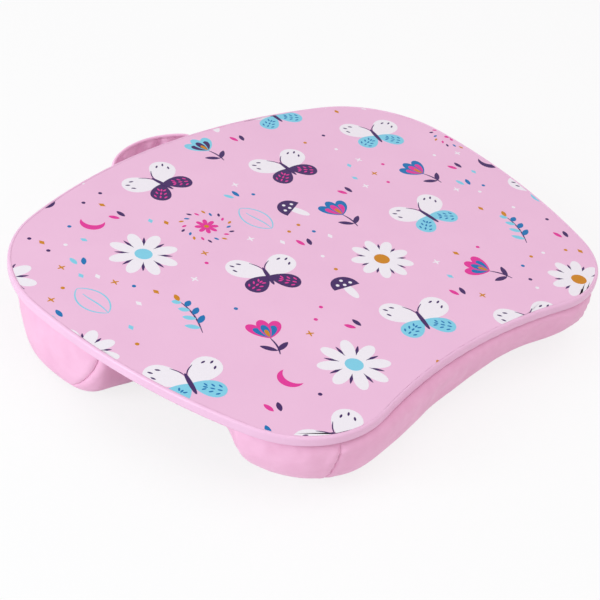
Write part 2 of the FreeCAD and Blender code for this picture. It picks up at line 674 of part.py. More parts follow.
handle_ends = []
for label, side in (("handle_left_end", -1), ("handle_right_end", 1)):
    middle = Vector(side * size("strap_halfspan"), wall_face + size("seat_gap"), fold_place.z)
    half = Vector(size("strap_end_width") / 2, 0, size("strap_end_height") / 2)
    body = new_body(label, Vector(origin_shift.x, origin_shift.y, 0) + middle - half)
    patch = body.newObject("PartDesign::AdditiveBox", f"{label}_patch")
    patch.setExpression("Length", "Sizes.strap_end_width")
    patch.setExpression("Width", "Sizes.strap_end_thickness")
    patch.setExpression("Height", "Sizes.strap_end_height")
    doc.recompute()
    short_edges = [
        f"Edge{number}" for number, edge in enumerate(patch.Shape.Edges, start=1)
        if edge.BoundBox.YLength > size("strap_end_thickness") / 2
    ]
    corners = body.newObject("PartDesign::Chamfer", f"{label}_corners")
    corners.Base = (patch, short_edges)
    corners.setExpression("Size", "Sizes.strap_end_corner")
    handle_ends.append(body)

# Check every object, then write each piece

doc.recompute()
nodes = [board_core, printed_top_sheet, backing_sheet, edge_trim, bond_strips, base_cloth]
nodes += soft_pieces + [handle_strap] + handle_ends
for item in doc.Objects:
    if "Invalid" in item.State or "Error" in item.State:
        raise RuntimeError(f"{item.Label} failed: {item.State}")
for node in nodes:
    if node.Shape.isNull() or not node.Shape.isValid():
        raise RuntimeError(f"{node.Label} has no sound shape")
os.makedirs("parts", exist_ok=True)
for node in nodes:
    node.Shape.exportStep(f"parts/{node.Label}.step")
    box = node.Shape.BoundBox
    print(node.Label, len(node.Shape.Solids), round(node.Shape.Volume),
          [round(edge, 1) for edge in (box.XMin, box.YMin, box.ZMin, box.XMax, box.YMax, box.ZMax)])
print("handle folds at", [round(part, 3) for part in fold_place])
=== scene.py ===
import bpy
import bmesh
import numpy as np
from mathutils import Matrix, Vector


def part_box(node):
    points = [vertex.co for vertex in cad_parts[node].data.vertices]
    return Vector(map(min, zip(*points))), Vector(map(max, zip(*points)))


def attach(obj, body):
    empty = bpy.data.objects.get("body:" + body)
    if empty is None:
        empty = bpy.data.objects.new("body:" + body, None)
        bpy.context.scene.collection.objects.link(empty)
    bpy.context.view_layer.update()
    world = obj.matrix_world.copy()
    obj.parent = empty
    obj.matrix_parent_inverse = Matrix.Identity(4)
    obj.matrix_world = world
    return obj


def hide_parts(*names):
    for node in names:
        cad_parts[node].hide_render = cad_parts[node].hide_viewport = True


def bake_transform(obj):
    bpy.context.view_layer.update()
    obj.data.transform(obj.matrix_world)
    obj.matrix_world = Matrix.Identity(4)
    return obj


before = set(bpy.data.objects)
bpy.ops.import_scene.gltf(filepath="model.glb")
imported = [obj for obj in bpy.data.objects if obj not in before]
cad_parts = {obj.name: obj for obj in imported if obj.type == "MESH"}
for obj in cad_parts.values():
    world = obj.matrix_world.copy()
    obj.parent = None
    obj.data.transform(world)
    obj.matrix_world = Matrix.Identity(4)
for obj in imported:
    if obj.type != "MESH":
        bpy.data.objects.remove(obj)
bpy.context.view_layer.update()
MM = 0.001

# Board core: one stiff sheet of fibreboard, sawn to the outline and grooved round its edge.
# Only its sawn edge and groove are bare, and the edging covers them.


def new_material(name):
    """An empty node material, with its Principled shader joined to the output."""
    made = bpy.data.materials.new(name)
    made.use_nodes = True
    return made, made.node_tree, made.node_tree.nodes["Principled BSDF"]


def set_sockets(tree, target, sockets):
    """Give each named socket a value, or link it where an output is given."""
    for name, value in sockets.items():
        if isinstance(value, bpy.types.NodeSocket):
            tree.links.new(value, target.inputs[name])
        else:
            target.inputs[name].default_value = value


def add_node(tree, kind, settings, sockets):
    """Add a shader node with its settings and sockets."""
    made = tree.nodes.new(kind)
    for name, value in settings.items():
        setattr(made, name, value)
    set_sockets(tree, made, sockets)
    return made


def object_place(tree):
    """Where a point lies on its own object, in metres."""
    return tree.nodes.new("ShaderNodeTexCoord").outputs["Object"]


def noise(tree, place, grain, detail):
    """Cloudy noise whose blotches are about grain millimetres across."""
    made = add_node(tree, "ShaderNodeTexNoise", {}, {
        "Vector": place, "Scale": 1 / (grain * MM), "Detail": detail, "Roughness": 0.55})
    return made.outputs["Fac"]


def shade_between(tree, factor, dark, light):
    """Colours from dark to light over the middle of a noise's range."""
    made = add_node(tree, "ShaderNodeValToRGB", {}, {"Fac": factor})
    made.color_ramp.elements[0].position = 0.3
    made.color_ramp.elements[0].color = dark
    made.color_ramp.elements[1].position = 0.7
    made.color_ramp.elements[1].color = light
    return made.outputs["Color"]


def bumped(tree, height, depth):
    """A bump of depth millimetres from a height between 0 and 1."""
    sockets = {"Height": height, "Distance": depth * MM, "Strength": 1.0}
    return add_node(tree, "ShaderNodeBump", {}, sockets).outputs["Normal"]


def linear(red, green, blue):
    """A colour as it looks on a screen, from 0 to 255, as the shader's linear colour."""
    shown = np.array([red, green, blue]) / 255
    light = np.where(shown <= 0.04045, shown / 12.92, ((shown + 0.055) / 1.055) ** 2.4)
    return (*light.tolist(), 1.0)


def mottled(name, grain, detail, dark, light, roughness, shine=0.5, depth=0, relief=None):
    """A finish mottled from dark to light by a noise of that grain and detail.

    The same noise, or one of relief's grain and detail, raises it by depth millimetres."""
    made, tree, shader = new_material(name)
    place = object_place(tree)
    mottle = noise(tree, place, grain, detail)
    set_sockets(tree, shader, {
        "Base Color": shade_between(tree, mottle, dark, light),
        "Roughness": roughness,
        "Specular IOR Level": shine,
    })
    if depth > 0:
        raised = noise(tree, place, *relief) if relief else mottle
        set_sockets(tree, shader, {"Normal": bumped(tree, raised, depth)})
    return made


def dress(node, made):
    """Give a CAD node that stays in view its material."""
    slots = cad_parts[node].data.materials
    slots.clear()
    slots.append(made)


fibreboard = mottled("raw fibreboard", grain=1.5, detail=6, dark=linear(150, 112, 74),
                     light=linear(196, 158, 116), roughness=0.85, depth=0.15)
dress("board_core", fibreboard)

# Backing sheet: a plain paper laminate pressed on the core's underside, so that the board stays flat.
# It is glued on as the print above is, and the cushion's lid hides it.

backing = mottled("backing paper", grain=2.0, detail=5, dark=linear(226, 224, 218),
                  light=linear(240, 238, 233), roughness=0.6, depth=0.03)
dress("backing_sheet", backing)

# Printed top sheet: a satin laminate with a small print, pressed on the core.
# The ground is one pink, with the faint unevenness of a printed film.

LAMINATE_PINK = linear(237, 189, 219)
LAMINATE_PALE = linear(240, 193, 222)
SATIN_ROUGHNESS = 0.48
SATIN_SHINE = 0.2

laminate = mottled("pink laminate", grain=60, detail=3, dark=LAMINATE_PINK, light=LAMINATE_PALE,
                   roughness=SATIN_ROUGHNESS, shine=SATIN_SHINE, depth=0.01, relief=(1.6, 2))
dress("printed_top_sheet", laminate)

# Print on the top sheet: flat inks in one tossed layout of butterflies, flowers and leaves.
# Each ink film is a few hundredths of a millimetre thick and stops at the sheet's edge.

SHEET_LOW, SHEET_HIGH = np.array(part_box("printed_top_sheet")) / MM
SHEET_MIDDLE = (SHEET_LOW[:2] + SHEET_HIGH[:2]) / 2
INK_FOOT = 0.06
INK_FILM = 0.02
INK_STEP = 0.003
LEAST_INK = 0.3
PRINT_MARGIN = 0.3
PRINT_OVERHANG = 0.03
MOTIF_LEAN = 25
RIM_STEPS = 4096
RIM_WAVES = 120

INKS = {
    "white": linear(238, 233, 239),
    "purple": linear(62, 30, 92),
    "magenta": linear(223, 52, 150),
    "teal": linear(10, 112, 174),
    "sky": linear(128, 204, 226),
    "mustard": linear(202, 130, 20),
}


def node_points(node):
    """All points of a CAD node's mesh, in millimetres."""
    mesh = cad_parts[node].data
    points = np.empty(len(mesh.vertices) * 3)
    mesh.vertices.foreach_get("co", points)
    return points.reshape(-1, 3) / MM


def rim_reach(points, middle):
    """The outline as a distance from the middle for every direction: angles and distances.

    The mesh's own corners give the distances, which a sum of waves then makes smooth."""
    offsets = points[:, :2] - middle
    angles = np.arctan2(offsets[:, 1], offsets[:, 0])
    order = np.argsort(angles)
    even = np.linspace(-np.pi, np.pi, RIM_STEPS, endpoint=False)
    reach = np.interp(even, angles[order], np.hypot(*offsets.T)[order], period=2 * np.pi)
    waves = np.fft.rfft(reach)
    waves[RIM_WAVES:] = 0
    return even, np.fft.irfft(waves, len(even))


SHEET_ANGLES, SHEET_REACH = rim_reach(node_points("printed_top_sheet"), SHEET_MIDDLE)


def kept_on_sheet(points):
    """Points past the sheet's edge, brought straight back to it."""
    offsets = points - SHEET_MIDDLE
    angles = np.arctan2(offsets[:, 1], offsets[:, 0])
    limit = np.interp(angles, SHEET_ANGLES, SHEET_REACH, period=2 * np.pi) - PRINT_MARGIN
    shrink = np.minimum(1, limit / np.maximum(np.hypot(*offsets.T), limit / 2))
    return SHEET_MIDDLE + offsets * shrink[:, None]


def turns(count):
    """Even angles once round, in radians."""
    return np.linspace(0, 2 * np.pi, count, endpoint=False)


def oval(length, width, count=20):
    """An ellipse about the origin, its length along Y."""
    angles = turns(count)
    return np.stack([width / 2 * np.cos(angles), length / 2 * np.sin(angles)], 1)


def petal(length, width, count=26):
    """A teardrop that starts at the origin in a point and ends round, along Y."""
    angles = turns(count)
    across = width / 2 * np.sin(angles) * np.abs(np.sin(angles / 2)) ** 0.8
    return np.stack([-across, length * (1 - np.cos(angles)) / 2], 1)


def leaf(length, width, count=20):
    """A leaf, pointed at both ends, from the origin along Y."""
    angles = turns(count)
    across = width / 2 * np.sin(angles) * np.abs(np.sin(angles)) ** 0.5
    return np.stack([-across, length * (1 - np.cos(angles)) / 2], 1)


def stroke(path, width):
    """A pen line of that width along a path, with tapered ends."""
    along = np.gradient(path, axis=0)
    along /= np.hypot(*along.T)[:, None]
    aside = np.stack([-along[:, 1], along[:, 0]], 1)
    share = np.linspace(0, np.pi, len(path))
    half = width / 2 * np.maximum(np.sin(share), 0.15)[:, None] ** 0.4
    return np.concatenate([path - aside * half, (path + aside * half)[::-1]])


def crescent(radius, bite):
    """A moon: a disc less a second disc, which is moved aside by bite radii."""
    meet = np.arccos(bite / 2)
    outer = np.linspace(meet, 2 * np.pi - meet, 26)
    inner = np.linspace(np.pi + meet, np.pi - meet, 20)[1:-1]
    rim = radius * np.stack([np.cos(outer), np.sin(outer)], 1)
    hollow = radius * np.stack([bite + np.cos(inner), np.sin(inner)], 1)
    return np.concatenate([rim, hollow])


def placed(points, degrees, place=(0, 0)):
    """Points turned about the origin and then moved."""
    angle = np.radians(degrees)
    turn = np.array([[np.cos(angle), np.sin(angle)], [-np.sin(angle), np.cos(angle)]])
    return points @ turn + np.asarray(place, float)


def spoke(along, degrees):
    """A point that far from the origin, in a direction counted clockwise from Y."""
    heading = np.radians(degrees)
    return along * np.sin(heading), along * np.cos(heading)


def butterfly(hind, marks):
    """Open wings seen from above: white fore wings, hind wings of one ink strewn with marks."""
    shapes = []
    for side in (-1, 1):
        shapes.append(("white", placed(petal(33, 27), -52 * side)))
        shapes.append((hind, placed(petal(25, 21), -124 * side)))
        for along, spread in ((10, 14), (15, 13), (20, 12)):
            for step in range(-1, 2):
                spot = spoke(along, 124 * side + step * spread)
                shapes.append((marks, placed(oval(3.6, 1.5, 10), -124 * side + 35 * step, spot)))
        for step, along in ((-1, 23), (0, 26), (1, 23)):
            spot = spoke(along, 52 * side + 13 * step)
            shapes.append(("purple", placed(leaf(4.2, 1.7, 10), -52 * side + 13 * step, spot)))
        sweep = np.linspace(0, 1, 12)
        feeler = np.stack([side * (1 + 7 * sweep ** 1.6), 9 + 9 * sweep], 1)
        shapes.append(("purple", stroke(feeler, 0.9)))
    shapes.append(("purple", oval(22, 3.6)))
    return shapes


def daisy(count, length, heart):
    """White petals round a heart, with a fine dark leaf between some of them."""
    step = 360 / count
    shapes = [("purple", placed(leaf(length * 0.8, 3), step * (place + 0.5))) for place in range(count)]
    shapes += [("white", placed(petal(length, length * 0.46), step * place)) for place in range(count)]
    return shapes + [(heart, oval(length * 0.5, length * 0.5))]


def tulip(outer, middle):
    """A flower head of petals within petals, on a short stem with two leaves."""
    rise = np.linspace(0, 1, 10)
    stem = np.stack([1.5 * np.sin(3 * rise), -18 * rise], 1)
    shapes = [("purple", stroke(stem, 1.5))]
    shapes += [("purple", placed(leaf(13, 4.4), 55 * side, (0, -14))) for side in (-1, 1)]
    for tilt in (34, -34, 0):
        shapes.append((outer, placed(petal(21, 12), tilt)))
        shapes.append((middle, placed(petal(14.5, 7.4), tilt, (0, 0.8))))
    return shapes + [("mustard", placed(petal(8.5, 4.2), 0, (0, 1.2)))]


def sprig(first, second):
    """A bent stem with leaves set to left and right of it."""
    rise = np.linspace(0, 1, 16)
    stem = np.stack([5 * np.sin(2.4 * rise), 38 * rise - 19], 1)
    shapes = [("purple", stroke(stem, 1.3))]
    for place in range(2, 15, 2):
        side = 1 if place % 4 == 0 else -1
        ink = first if side > 0 else second
        shapes.append((ink, placed(leaf(12 - 0.35 * place, 4.8), -52 * side, stem[place])))
    return shapes + [("mustard", placed(leaf(8, 4), -10, stem[-1]))]


def toadstool(cap):
    """A spotted cap on a pale stalk."""
    sweep = np.linspace(0, np.pi, 20)
    dome = np.stack([11.5 * np.cos(sweep), 13 * np.sin(sweep) ** 0.8], 1)
    shapes = [("white", placed(oval(19, 7.5), 0, (0, -5))), (cap, dome)]
    for spot in ((-5.5, 4.5), (0.5, 8.5), (5.8, 4), (0, 3)):
        shapes.append(("white", placed(oval(2.8, 2.8, 12), 0, spot)))
    return shapes


def wreath(hearts):
    """Small leaves in a ring round one flower."""
    inks = ("teal", "mustard", "magenta", "purple")
    shapes = []
    for place in range(20):
        heading = 18 * place
        spot = placed(np.array([[0, 15.5 + 2.5 * (place % 2)]]), heading)[0]
        shapes.append((inks[place % 4], placed(leaf(4.6, 2.2, 10), heading + 40, spot)))
    shapes += [(hearts, placed(petal(9.5, 4.6, 16), 45 * place)) for place in range(8)]
    return shapes + [("mustard", oval(4, 4, 12))]


def drawn_leaf():
    """A leaf drawn as one fine line with its rib."""
    edge = np.concatenate([leaf(34, 21, 40), leaf(34, 21, 40)[:1]])
    rise = np.linspace(0, 1, 10)
    rib = np.stack([0.8 * np.sin(5 * rise), 27 * rise], 1)
    half = len(edge) // 2
    lines = (edge[:half + 1], edge[half:], rib)
    return [("sky", placed(stroke(line, 1.2), 0, (0, -17))) for line in lines]


def moon(ink):
    """A crescent that leans."""
    return [(ink, placed(crescent(9.5, 0.62), 20))]


def dot(ink):
    """A small disc."""
    return [(ink, oval(3.2, 3.2, 14))]


def diamond(ink):
    """An ellipse of only four points."""
    return [(ink, oval(6.5, 4.2, 4))]


def cross(ink):
    """Two short pen lines at right angles."""
    line = np.stack([np.zeros(6), np.linspace(-3.2, 3.2, 6)], 1)
    return [(ink, placed(stroke(line, 1.5), degrees)) for degrees in (0, 90)]


def leaf_pair(first, second):
    """Two leaves side by side, leaning apart."""
    return [(first, placed(leaf(9, 4), 18, (-2.4, -4))),
            (second, placed(leaf(9, 4), -14, (2.4, -5.5)))]


LARGE = [butterfly("purple", "magenta"), butterfly("sky", "teal"), daisy(9, 25, "mustard"),
         butterfly("sky", "teal"), butterfly("purple", "magenta"), daisy(8, 27, "sky")]
MEDIUM = [tulip("teal", "magenta"), sprig("teal", "sky"), toadstool("magenta"), wreath("magenta"),
          moon("purple"), drawn_leaf(), tulip("sky", "purple"), toadstool("purple"), moon("magenta"),
          sprig("magenta", "mustard"), tulip("magenta", "teal")]
SMALL = [dot("purple"), cross("white"), diamond("mustard"), leaf_pair("magenta", "purple"), dot("white"),
         diamond("sky"), dot("mustard"), cross("mustard"), leaf_pair("sky", "teal"), dot("teal"),
         diamond("white"), dot("magenta")]


def tossed(groups, seed):
    """Places for the motifs: each is thrown at random and kept where it clears the others' reach."""
    draw = np.random.RandomState(seed)
    span = SHEET_HIGH[:2] - SHEET_LOW[:2]
    kept = []
    for motifs, room, tries in groups:
        number = 0
        for share in draw.random_sample((tries, 3)):
            spot = SHEET_LOW[:2] + span * ((1 + 2 * PRINT_OVERHANG) * share[:2] - PRINT_OVERHANG)
            motif = motifs[number % len(motifs)]
            reach = room + max(np.hypot(*outline.T).max() for _, outline in motif)
            if all(np.hypot(*(spot - other)) > reach + taken for other, taken, _, _ in kept):
                kept.append((spot, reach, motif, 2 * MOTIF_LEAN * share[2] - MOTIF_LEAN))
                number += 1
    return kept


def signed_area(points):
    """Half the sum of x times the next y less y times the next x: above 0 where it runs anticlockwise."""
    ahead = np.roll(points, -1, axis=0)
    return np.sum(points[:, 0] * ahead[:, 1] - points[:, 1] * ahead[:, 0]) / 2


def mesh_piece(name, points, faces, materials, indices=None, smooth=False):
    """A mesh object from points in millimetres, with one material or one for each face."""
    mesh = bpy.data.meshes.new(name)
    mesh.from_pydata((np.asarray(points) * MM).tolist(), [], faces)
    for made in materials:
        mesh.materials.append(made)
    if indices is not None:
        mesh.polygons.foreach_set("material_index", indices)
    if smooth:
        mesh.polygons.foreach_set("use_smooth", np.ones(len(mesh.polygons), bool))
    mesh.update()
    piece = bpy.data.objects.new(name, mesh)
    bpy.context.scene.collection.objects.link(piece)
    return piece


def ink_films(layout):
    """Every shape as a low prism whose top face stands a layer above the shape before it."""
    points, faces, indices = [], [], []
    names = list(INKS)
    first = 0
    for spot, _, motif, lean in layout:
        for layer, (ink, outline) in enumerate(motif):
            flat = kept_on_sheet(placed(outline, lean, spot))
            area = signed_area(flat)
            if abs(area) < LEAST_INK:
                continue
            if area < 0:
                flat = flat[::-1]
            count = len(flat)
            height = SHEET_HIGH[2] + INK_FILM + INK_STEP * layer
            top = np.column_stack([flat, np.full(count, height)])
            foot = np.column_stack([flat, np.full(count, SHEET_HIGH[2] - INK_FOOT)])
            points.append(np.concatenate([top, foot]))
            rim = first + np.arange(count)
            after = np.roll(rim, -1)
            faces.append(rim.tolist())
            faces.append((rim[::-1] + count).tolist())
            faces += np.stack([rim, rim + count, after + count, after], 1).tolist()
            indices += [names.index(ink)] * (count + 2)
            first += 2 * count
    return np.concatenate(points), faces, indices


def ink_material(name, colour):
    """A flat ink under the laminate's satin film, with a faint screen of fine dots."""
    lighter = tuple(min(1.0, part * 1.06 + 0.004) for part in colour[:3]) + (1.0,)
    return mottled(f"ink {name}", grain=0.5, detail=1, dark=colour, light=lighter,
                   roughness=SATIN_ROUGHNESS, shine=SATIN_SHINE)


# Each size of motif is given with the room kept round it and the number of throws.
LAYOUT = tossed(((LARGE, 9, 500), (MEDIUM, 1.5, 2500), (SMALL, 2.6, 2500)), seed=11)
ink_points, ink_faces, ink_indices = ink_films(LAYOUT)
ink_materials = [ink_material(name, colour) for name, colour in INKS.items()]
print_inks = mesh_piece("top_print", ink_points, ink_faces, ink_materials, ink_indices)
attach(print_inks, "tray")

# Edging: a moulded strip with a T section. Its tongue is pressed into the core's groove, and its
# rounded head covers the board's edge and stands a little proud of the print.

TRIM_LOW, TRIM_HIGH = np.array(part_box("edge_trim")) / MM
HEAD_WIDTH = SHEET_LOW[0] - TRIM_LOW[0]
TONGUE_DEPTH = 7.0
TONGUE_HALF = 0.8
HEAD_ROUND = 2.0
FOOT_ROUND = 1.2
EDGING_SIDES = 1600


def read_along(even, length, values):
    """Values that are known at some lengths of a path, read off at other lengths of it."""
    return np.stack([np.interp(even, length, column) for column in values.T], 1)


def even_steps(path, count):
    """Points at even steps along an open path, with both its ends."""
    length = np.concatenate([[0], np.cumsum(np.hypot(*np.diff(path, axis=0).T))])
    return read_along(np.linspace(0, length[-1], count), length, path)


def closed_steps(ring, count):
    """Points at even steps round a closed ring."""
    return even_steps(np.concatenate([ring, ring[:1]]), count + 1)[:-1]


def ring_of(angles, reach, middle, count):
    """An outline given by distances from its middle, as a ring of even steps."""
    return closed_steps(middle + reach[:, None] * np.stack([np.cos(angles), np.sin(angles)], 1), count)


def outwards(ring):
    """The outward direction at each point of an anticlockwise ring."""
    along = np.roll(ring, -1, axis=0) - np.roll(ring, 1, axis=0)
    along /= np.hypot(*along.T)[:, None]
    return np.stack([along[:, 1], -along[:, 0]], 1)


def edging_section():
    """The T section, clockwise: outward distance from the print's edge, and height.

    The head's outer corners are quarter circles, its inner top edge is a small bead, and the tongue
    is a plain bar at half height."""
    top, low = TRIM_HIGH[2], TRIM_LOW[2]
    over, under = (top + low) / 2 + TONGUE_HALF, (top + low) / 2 - TONGUE_HALF
    sweep = np.linspace(0, np.pi / 2, 9)
    upper = np.stack([HEAD_WIDTH - HEAD_ROUND + HEAD_ROUND * np.sin(sweep),
                      top - HEAD_ROUND * (1 - np.cos(sweep))], 1)
    lower = np.stack([HEAD_WIDTH - FOOT_ROUND + FOOT_ROUND * np.cos(sweep),
                      low + FOOT_ROUND * (1 - np.sin(sweep))], 1)
    bead = np.array([[0.0, top - 0.45], [0.12, top - 0.12], [0.4, top]])
    tongue = np.array([[0.0, low + 0.2], [0.0, under], [-TONGUE_DEPTH, under], [-TONGUE_DEPTH, over],
                       [0.0, over]])
    return np.concatenate([bead, upper, lower, tongue])


def numbered(grid, start=0):
    """The number of each point of a grid, row by row, counted from start."""
    return start + np.arange(grid.shape[0] * grid.shape[1]).reshape(grid.shape[:2])


def swept(path, section):
    """A section carried round a closed path: the quads of a ring-shaped tube."""
    plan = path[:, None, :] + section[None, :, :1] * outwards(path)[:, None, :]
    height = np.broadcast_to(section[None, :, 1:], plan.shape[:2] + (1,))
    points = np.concatenate([plan, height], 2).reshape(-1, 3)
    place = numbered(plan)
    ahead = np.roll(place, -1, axis=0)
    quads = np.stack([place, np.roll(place, -1, axis=1), np.roll(ahead, -1, axis=1), ahead], -1)
    return points, quads.reshape(-1, 4).tolist()


edging_material = mottled("pink edging", grain=30, detail=3, dark=linear(235, 186, 217),
                          light=linear(239, 192, 222), roughness=0.38, shine=0.45, depth=0.02,
                          relief=(0.9, 3))
print_edge = ring_of(SHEET_ANGLES, SHEET_REACH, SHEET_MIDDLE, EDGING_SIDES)
edging = mesh_piece("edging", *swept(print_edge, edging_section()), [edging_material], smooth=True)
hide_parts("edge_trim")
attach(edging, "tray")

# Tape strips: double-sided tape in five rows, which holds the cushion's lid to the board.
# They lie between the backing sheet and the cloth, so they don't show on the finished tray.

tape = mottled("adhesive tape", grain=3, detail=4, dark=linear(222, 214, 190), light=linear(236, 230, 210),
               roughness=0.35)
dress("bond_strips", tape)

# Base cloth: the lid of the cushion, cut to the board's outline, taped under the board and sewn to
# both bolsters. It is stretched flat, and sags a little over the open channel between them.

LID_LOW, LID_HIGH = np.array(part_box("base_cloth")) / MM
LID_MIDDLE = (LID_LOW[:2] + LID_HIGH[:2]) / 2
LID_SAG = 1.6
LID_SIDES = 400
LID_RINGS = 60
LID_BORDER = 0.12
CLOTH_THICK = 1.2
WELD_DISTANCE = 0.02
CHANNEL_MIDDLE = -78.0
CHANNEL_HALF = 44.0


def brushed_cloth(name, dark, light):
    """Short-napped polyester: a soft bloom at grazing angles, fine fibres and faint brushed patches."""
    made = mottled(name, grain=16, detail=4, dark=dark, light=light, roughness=0.9, shine=0.2, depth=0.07,
                   relief=(0.4, 4))
    nap = {"Sheen Weight": 0.25, "Sheen Roughness": 0.45}
    set_sockets(made.node_tree, made.node_tree.nodes["Principled BSDF"], nap)
    return made


def grid_quads(place, closed):
    """Quads over a grid of point numbers, whose first axis may close on itself."""
    if closed:
        place = np.concatenate([place, place[:1]])
    corners = [place[:-1, :-1], place[:-1, 1:], place[1:, 1:], place[1:, :-1]]
    return np.stack(corners, -1).reshape(-1, 4)


def cloth_piece(name, points, faces, cloth, thick=CLOTH_THICK):
    """A panel of cloth: only the points that its faces use, merged, with its thickness inside them."""
    used, compact = np.unique(faces, return_inverse=True)
    piece = mesh_piece(name, points[used], compact.reshape(faces.shape).tolist(), [cloth], smooth=True)
    welded = bmesh.new()
    welded.from_mesh(piece.data)
    bmesh.ops.remove_doubles(welded, verts=welded.verts, dist=WELD_DISTANCE * MM)
    welded.to_mesh(piece.data)
    welded.free()
    if thick > 0:
        layer = piece.modifiers.new("cloth thickness", "SOLIDIFY")
        layer.thickness = thick * MM
        layer.offset = -1
    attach(piece, "tray")
    return piece


pink_cloth = brushed_cloth("pink cloth", linear(238, 178, 210), linear(244, 187, 218))
lid_edge = ring_of(*rim_reach(node_points("base_cloth"), LID_MIDDLE), LID_MIDDLE, LID_SIDES)
spread = np.linspace(1, 0, LID_RINGS)
lid_plan = LID_MIDDLE + spread[None, :, None] * (lid_edge - LID_MIDDLE)[:, None, :]
over_channel = np.clip(1 - ((lid_plan[:, :, 1] - CHANNEL_MIDDLE) / CHANNEL_HALF) ** 2, 0, 1)
within_edge = np.clip((1 - spread) / LID_BORDER, 0, 1)[None, :]
ripple = 1 + 0.25 * np.sin(lid_plan[:, :, 0] / 11 + np.sin(lid_plan[:, :, 1] / 9))
lid_height = LID_LOW[2] - LID_SAG * over_channel * within_edge * ripple
lid_grid = np.dstack([lid_plan, lid_height])
lid_faces = grid_quads(numbered(lid_grid), True)[:, ::-1]
lid = cloth_piece("cushion_lid", lid_grid.reshape(-1, 3), lid_faces, pink_cloth)
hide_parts("base_cloth")

# Front bolster: a banana-shaped cushion of three panels of brushed cloth, one long strip for both
# walls and the sole and a cap at each end. It is stuffed, so its walls swell past the board.

FRONT_INNER = -123.4
FRONT_EASE = 5.6
FRONT_COLUMNS = 800
FRONT_SEAM = 145
FRONT_SPINE = 120
FRONT_FOOT = 0.12
FRONT_TIPS = (4.2, 0)
SLACK_MIDDLE, SLACK_WIDTH = 73, 66
LOBE_BEARING = 52
RING_STEPS = 2000
WALL_ROWS = 31
ROW_SHARES = np.linspace(0, 1, WALL_ROWS) ** 1.5
LID_BITE = 0.2
FLOOR_GAP = 0.05
TIP_START, TIP_RUN = 122, 36
SOLE_BOW = 8.0
SEAM_DENT, SEAM_WIDTH = 1.1, 1.3
PUCKER_DEPTH, PUCKER_PITCH = 0.4, 7.5
TUCK_DEPTH, TUCK_COLUMNS = 0.25, 9
WAVE_DEPTH = 0.2
COLUMN_STEP = 4
HELD_ROWS = [0, 1, 2, 3, -1]
CLOTH_FRAMES = 20
CLOTH_EASE = 0.012
CLOTH_CAP = 3.0
LONG_WAVES, SHORT_WAVES = 6, 0.3
CALM_SLOPE, CALM_LEAST = 2.2, 0.04


def bell(values, middle, width):
    """A bell curve: 1 at its middle, and exp(-d^2) at a distance of d widths."""
    return np.exp(-((values - middle) / width) ** 2)


def unit(vectors):
    """The same directions at length 1."""
    return vectors / np.linalg.norm(vectors, axis=-1, keepdims=True)


def bearing(out, aside):
    """Degrees by which outward directions turn to the back from the side that aside counts along."""
    return np.degrees(np.arctan2(out[:, 1], aside))


def at_ends(out):
    """From 0 along the front and back to 1 where a ring faces straight left or right."""
    return np.clip(np.abs(out[:, 0]) - 0.6, 0, 1) / 0.4


def rounded(ring, reach):
    """A closed ring of even steps with its corners eased: each wave fades as a bell of that reach."""
    length = np.hypot(*(np.roll(ring, -1, axis=0) - ring).T).sum()
    waves = np.fft.fft(ring[:, 0] + 1j * ring[:, 1])
    count = np.fft.fftfreq(len(ring), 1 / len(ring))
    eased = np.fft.ifft(waves * np.exp(-(2 * np.pi * count * reach / length) ** 2 / 2))
    return np.stack([eased.real, eased.imag], 1)


def paired(ring, count):
    """A ring that starts at its left tip, with as many points along its front as along its back."""
    ring = np.roll(ring, -np.argmin(ring[:, 0]), axis=0)
    turn = np.argmax(ring[:, 0])
    front = even_steps(ring[:turn + 1], count // 2 + 1)
    back = even_steps(np.concatenate([ring[turn:], ring[:1]]), count // 2 + 1)
    return np.concatenate([front[:-1], back[:-1]])


def ring_run(ring):
    """The way along a ring to each of its points, and once round."""
    steps = np.hypot(*(np.roll(ring, -1, axis=0) - ring).T)
    return np.cumsum(steps) - steps, steps.sum()


def seam_gaps(ring, cap):
    """The signed way along a ring from each seam, whether a cap begins (1) or ends (-1), and its place."""
    run, length = ring_run(ring)
    sides = cap.astype(int) - np.roll(cap, 1)
    seams = np.flatnonzero(sides)
    gaps = np.mod(run[:, None] - run[None, seams] + length / 2, length) - length / 2
    return gaps, sides[seams], ring[seams]


def off_tips(ring):
    """From 0 at the two tips of a paired ring to 1 well away from them, as an upturned bell."""
    run, length = ring_run(ring)
    way = np.mod(run[:, None] - run[[0, len(ring) // 2]] + length / 2, length) - length / 2
    return 1 - bell(np.abs(way).min(1), 0, 25)


